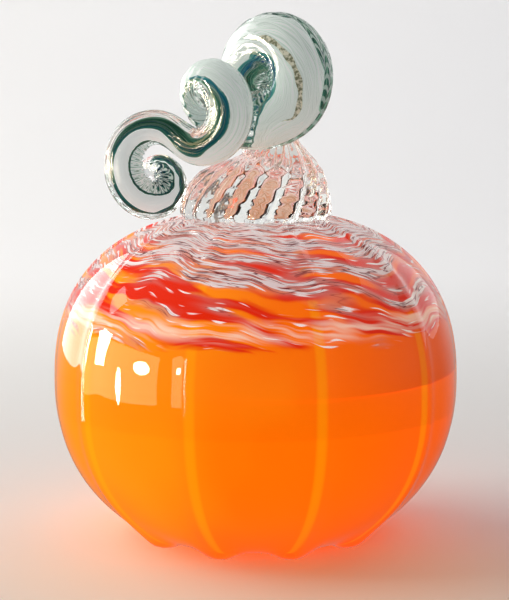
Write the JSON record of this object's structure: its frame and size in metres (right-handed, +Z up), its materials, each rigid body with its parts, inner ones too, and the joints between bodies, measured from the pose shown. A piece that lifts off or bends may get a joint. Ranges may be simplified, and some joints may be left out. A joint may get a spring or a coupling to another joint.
{
  "type": "blown-glass pumpkin figure",
  "caption": "Blown-glass pumpkin figure: ribbed orange body cased in clear glass, feathered crown and a curled, twisted clear stem.",
  "frame": {"origin": "on the table plane under the middle of the body, at the bottom centre of the bounding box", "axes": "+Z up from the feet to the stem; -Y is the front, from which the end curl is seen face on; +X right"},
  "size_m": [0.1518, 0.15, 0.1946],
  "materials": {
    "orange_glass": "gloss, translucent bright orange",
    "streak_glass": "gloss, feathered white, red and maroon",
    "clear_glass": "fire polished, clear",
    "white_glass": "gloss, silvery white",
    "green_glass": "gloss, deep green and blue"
  },
  "bodies": {
    "root": {"orange_bubble": "orange_glass", "streak_layer": "streak_glass", "clear_casing": "clear_glass", "stem_foot": "clear_glass", "stem_core": "clear_glass", "stem_white_band": "white_glass", "stem_green_band": "green_glass", "stem_casing": "clear_glass"}
  },
  "joints": []
}
